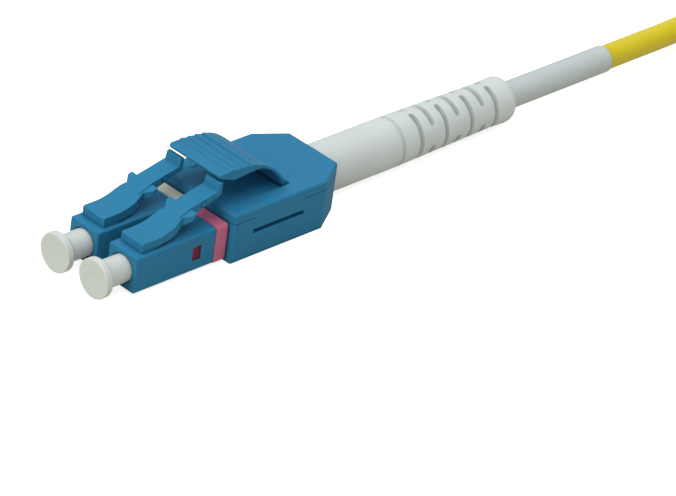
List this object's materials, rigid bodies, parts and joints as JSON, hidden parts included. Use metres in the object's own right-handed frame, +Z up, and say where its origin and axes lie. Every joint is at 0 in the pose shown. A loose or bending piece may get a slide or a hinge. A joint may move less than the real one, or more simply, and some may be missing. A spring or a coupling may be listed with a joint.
{
  "type": "duplex lc fibre connector",
  "caption": "Duplex latched fibre connector with finger trigger, dust caps and slotted boot, on a 3 mm cable folded into a tied hank, with a like connector at its far end.",
  "frame": {"origin": "centre of the housing's flat bottom face, which the connector rests on", "axes": "+X from the plugs to the cable, +Y to plug b, +Z up, towards the latches"},
  "size_m": [0.2514, 0.0276, 0.0129],
  "materials": {
    "blue_plastic": "fine satin moulded PBT",
    "rear_body_pink": "satin moulded plastic, colour for one polarity",
    "rear_body_ivory": "satin moulded plastic, colour for the other polarity",
    "cap_plastic": "soft polyethylene",
    "ceramic": "polished zirconia",
    "flange_metal": "nickel plated turned metal",
    "crimp_metal": "plated crimped tube",
    "spring_steel": "drawn spring wire",
    "fibre_buffer": "tight buffer",
    "boot_white": "matt flexible moulding",
    "sleeve_white": "shrunk sleeve",
    "tie_strap": "woven hook and loop strap",
    "jacket_yellow": "smooth extruded jacket"
  },
  "bodies": {
    "connector": {"plug_housing_a": "blue_plastic", "rear_body_a": "rear_body_pink", "spring_a": "spring_steel", "fibre_a": "fibre_buffer", "plug_housing_b": "blue_plastic", "rear_body_b": "rear_body_ivory", "spring_b": "spring_steel", "fibre_b": "fibre_buffer", "lower_housing": "blue_plastic", "top_cover": "blue_plastic", "crimp_post": "flange_metal", "crimp_ring": "crimp_metal", "boot": "boot_white", "marking_sleeve": "sleeve_white", "far_plug_housing_a": "blue_plastic", "far_rear_body_a": "rear_body_pink", "far_spring_a": "spring_steel", "far_fibre_a": "fibre_buffer", "far_plug_housing_b": "blue_plastic", "far_rear_body_b": "rear_body_ivory", "far_spring_b": "spring_steel", "far_fibre_b": "fibre_buffer", "far_lower_housing": "blue_plastic", "far_top_cover": "blue_plastic", "far_crimp_post": "flange_metal", "far_crimp_ring": "crimp_metal", "far_boot": "boot_white", "far_marking_sleeve": "sleeve_white", "cable": "jacket_yellow", "cable_hank": "jacket_yellow", "cord_tie": "tie_strap", "far_cable": "jacket_yellow"},
    "dust_cap_a": {"dust_cap_a": "cap_plastic"},
    "latch_a": {"latch_a": "blue_plastic"},
    "ferrule_a": {"ferrule_a": "ceramic", "ferrule_flange_a": "flange_metal"},
    "dust_cap_b": {"dust_cap_b": "cap_plastic"},
    "latch_b": {"latch_b": "blue_plastic"},
    "ferrule_b": {"ferrule_b": "ceramic", "ferrule_flange_b": "flange_metal"},
    "trigger": {"trigger": "blue_plastic"},
    "far_dust_cap_a": {"far_dust_cap_a": "cap_plastic"},
    "far_latch_a": {"far_latch_a": "blue_plastic"},
    "far_ferrule_a": {"far_ferrule_a": "ceramic", "far_ferrule_flange_a": "flange_metal"},
    "far_dust_cap_b": {"far_dust_cap_b": "cap_plastic"},
    "far_latch_b": {"far_latch_b": "blue_plastic"},
    "far_ferrule_b": {"far_ferrule_b": "ceramic", "far_ferrule_flange_b": "flange_metal"},
    "far_trigger": {"far_trigger": "blue_plastic"}
  },
  "joints": [
    {"name": "latch_a_flex", "type": "hinge", "parent": "connector", "child": "latch_a", "pos_m": [-0.01783, -0.00313, 0.00554], "axis": [0, 1, 0], "range_deg": [0, 10.5]},
    {"name": "dust_cap_a_pull", "type": "slide", "parent": "connector", "child": "dust_cap_a", "axis": [-1, 0, 0], "range_m": [0, 0.008]},
    {"name": "ferrule_a_float", "type": "slide", "parent": "connector", "child": "ferrule_a", "axis": [1, 0, 0], "range_m": [0, 0.001], "stiffness_N_per_m": 1000, "deforming": ["spring_a"]},
    {"name": "latch_b_flex", "type": "hinge", "parent": "connector", "child": "latch_b", "pos_m": [-0.01783, 0.00313, 0.00554], "axis": [0, 1, 0], "range_deg": [0, 10.5]},
    {"name": "dust_cap_b_pull", "type": "slide", "parent": "connector", "child": "dust_cap_b", "axis": [-1, 0, 0], "range_m": [0, 0.008]},
    {"name": "ferrule_b_float", "type": "slide", "parent": "connector", "child": "ferrule_b", "axis": [1, 0, 0], "range_m": [0, 0.001], "stiffness_N_per_m": 1000, "deforming": ["spring_b"]},
    {"name": "trigger_press", "type": "hinge", "parent": "connector", "child": "trigger", "pos_m": [0.00068, 0, 0.00565], "axis": [0, -1, 0], "range_deg": [0, 8], "stiffness_Nm_per_rad": 0.1},
    {"name": "far_latch_a_flex", "type": "hinge", "parent": "connector", "child": "far_latch_a", "pos_m": [0.21623, 0.00313, 0.00554], "axis": [0, -1, 0], "range_deg": [0, 10.5]},
    {"name": "far_dust_cap_a_pull", "type": "slide", "parent": "connector", "child": "far_dust_cap_a", "axis": [1, 0, 0], "range_m": [0, 0.008]},
    {"name": "far_ferrule_a_float", "type": "slide", "parent": "connector", "child": "far_ferrule_a", "axis": [-1, 0, 0], "range_m": [0, 0.001], "stiffness_N_per_m": 1000, "deforming": ["far_spring_a"]},
    {"name": "far_latch_b_flex", "type": "hinge", "parent": "connector", "child": "far_latch_b", "pos_m": [0.21623, -0.00313, 0.00554], "axis": [0, -1, 0], "range_deg": [0, 10.5]},
    {"name": "far_dust_cap_b_pull", "type": "slide", "parent": "connector", "child": "far_dust_cap_b", "axis": [1, 0, 0], "range_m": [0, 0.008]},
    {"name": "far_ferrule_b_float", "type": "slide", "parent": "connector", "child": "far_ferrule_b", "axis": [-1, 0, 0], "range_m": [0, 0.001], "stiffness_N_per_m": 1000, "deforming": ["far_spring_b"]},
    {"name": "far_trigger_press", "type": "hinge", "parent": "connector", "child": "far_trigger", "pos_m": [0.19773, 0, 0.00565], "axis": [0, 1, 0], "range_deg": [0, 8], "stiffness_Nm_per_rad": 0.1}
  ],
  "couplings": [
    {"joint": "latch_a_flex", "follows": "trigger_press", "ratio": 1.3},
    {"joint": "latch_b_flex", "follows": "trigger_press", "ratio": 1.3},
    {"joint": "far_latch_a_flex", "follows": "far_trigger_press", "ratio": 1.3},
    {"joint": "far_latch_b_flex", "follows": "far_trigger_press", "ratio": 1.3}
  ]
}
